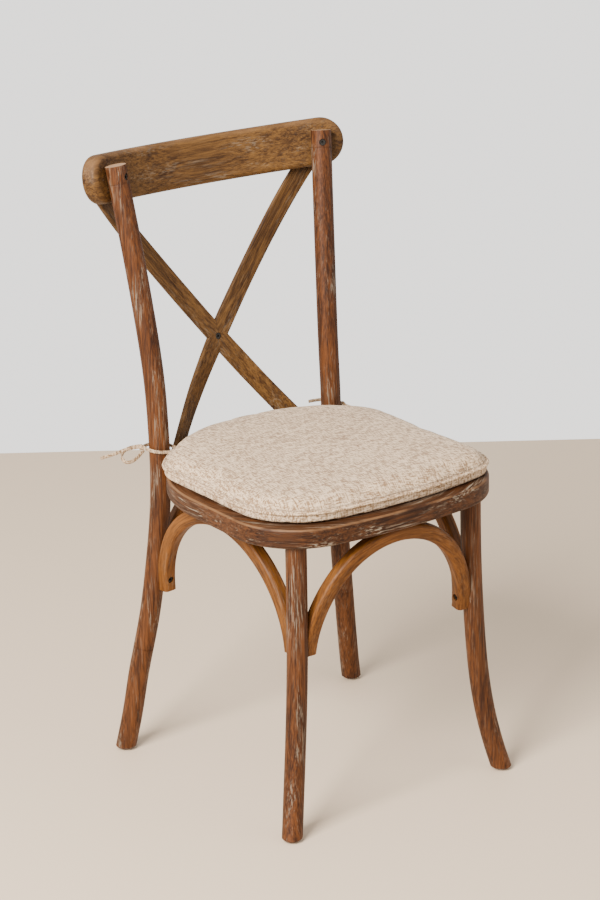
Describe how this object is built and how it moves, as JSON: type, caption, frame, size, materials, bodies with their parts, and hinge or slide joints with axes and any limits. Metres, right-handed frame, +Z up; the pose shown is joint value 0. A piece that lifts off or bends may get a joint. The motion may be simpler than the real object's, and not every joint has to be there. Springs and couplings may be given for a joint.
{
  "type": "dining chair",
  "caption": "Bentwood cross-back dining chair: splayed round legs, curved top rail, crossed back straps, arched braces and a tie-on linen seat cushion.",
  "frame": {"origin": "on the floor, below the middle of the chair's overall box without its ties", "axes": "+Z up, -Y towards the front of the seat, +X to the right as seen by someone facing the chair's front"},
  "size_m": [0.4418, 0.5041, 0.8784],
  "materials": {
    "post_wood": "brushed, limed and matt",
    "seat_wood": "brushed, limed and matt",
    "back_wood": "brushed, limed and matt",
    "arch_wood": "satin",
    "dark_screws": "dark oxide",
    "glide_plastic": "plain",
    "linen": "woven",
    "linen_welt": "woven",
    "linen_tie": "woven"
  },
  "bodies": {
    "root": {"arch_crown_screws": "dark_screws", "arch_end_screws": "dark_screws", "cross_strap_front": "back_wood", "cross_strap_rear": "back_wood", "cushion": "linen", "cushion_welt": "linen_welt", "foot_glides": "glide_plastic", "front_arch": "arch_wood", "front_left_leg": "post_wood", "front_right_leg": "post_wood", "left_arch": "arch_wood", "left_tie": "linen_tie", "left_tie_back": "linen_tie", "left_tie_bow": "linen_tie", "left_tie_knot": "linen_tie", "left_tie_tail": "linen_tie", "post_bolts": "dark_screws", "rail_screws": "dark_screws", "rear_arch": "arch_wood", "rear_left_post": "post_wood", "rear_right_post": "post_wood", "right_arch": "arch_wood", "right_tie": "linen_tie", "right_tie_end_knot": "linen_tie", "right_tie_knot": "linen_tie", "right_tie_short": "linen_tie", "right_tie_tail": "linen_tie", "seat_frame": "seat_wood", "seat_panel": "seat_wood", "strap_bottom_screws": "dark_screws", "strap_crossing_screw": "dark_screws", "strap_top_screws": "dark_screws", "top_rail": "back_wood"}
  },
  "joints": []
}
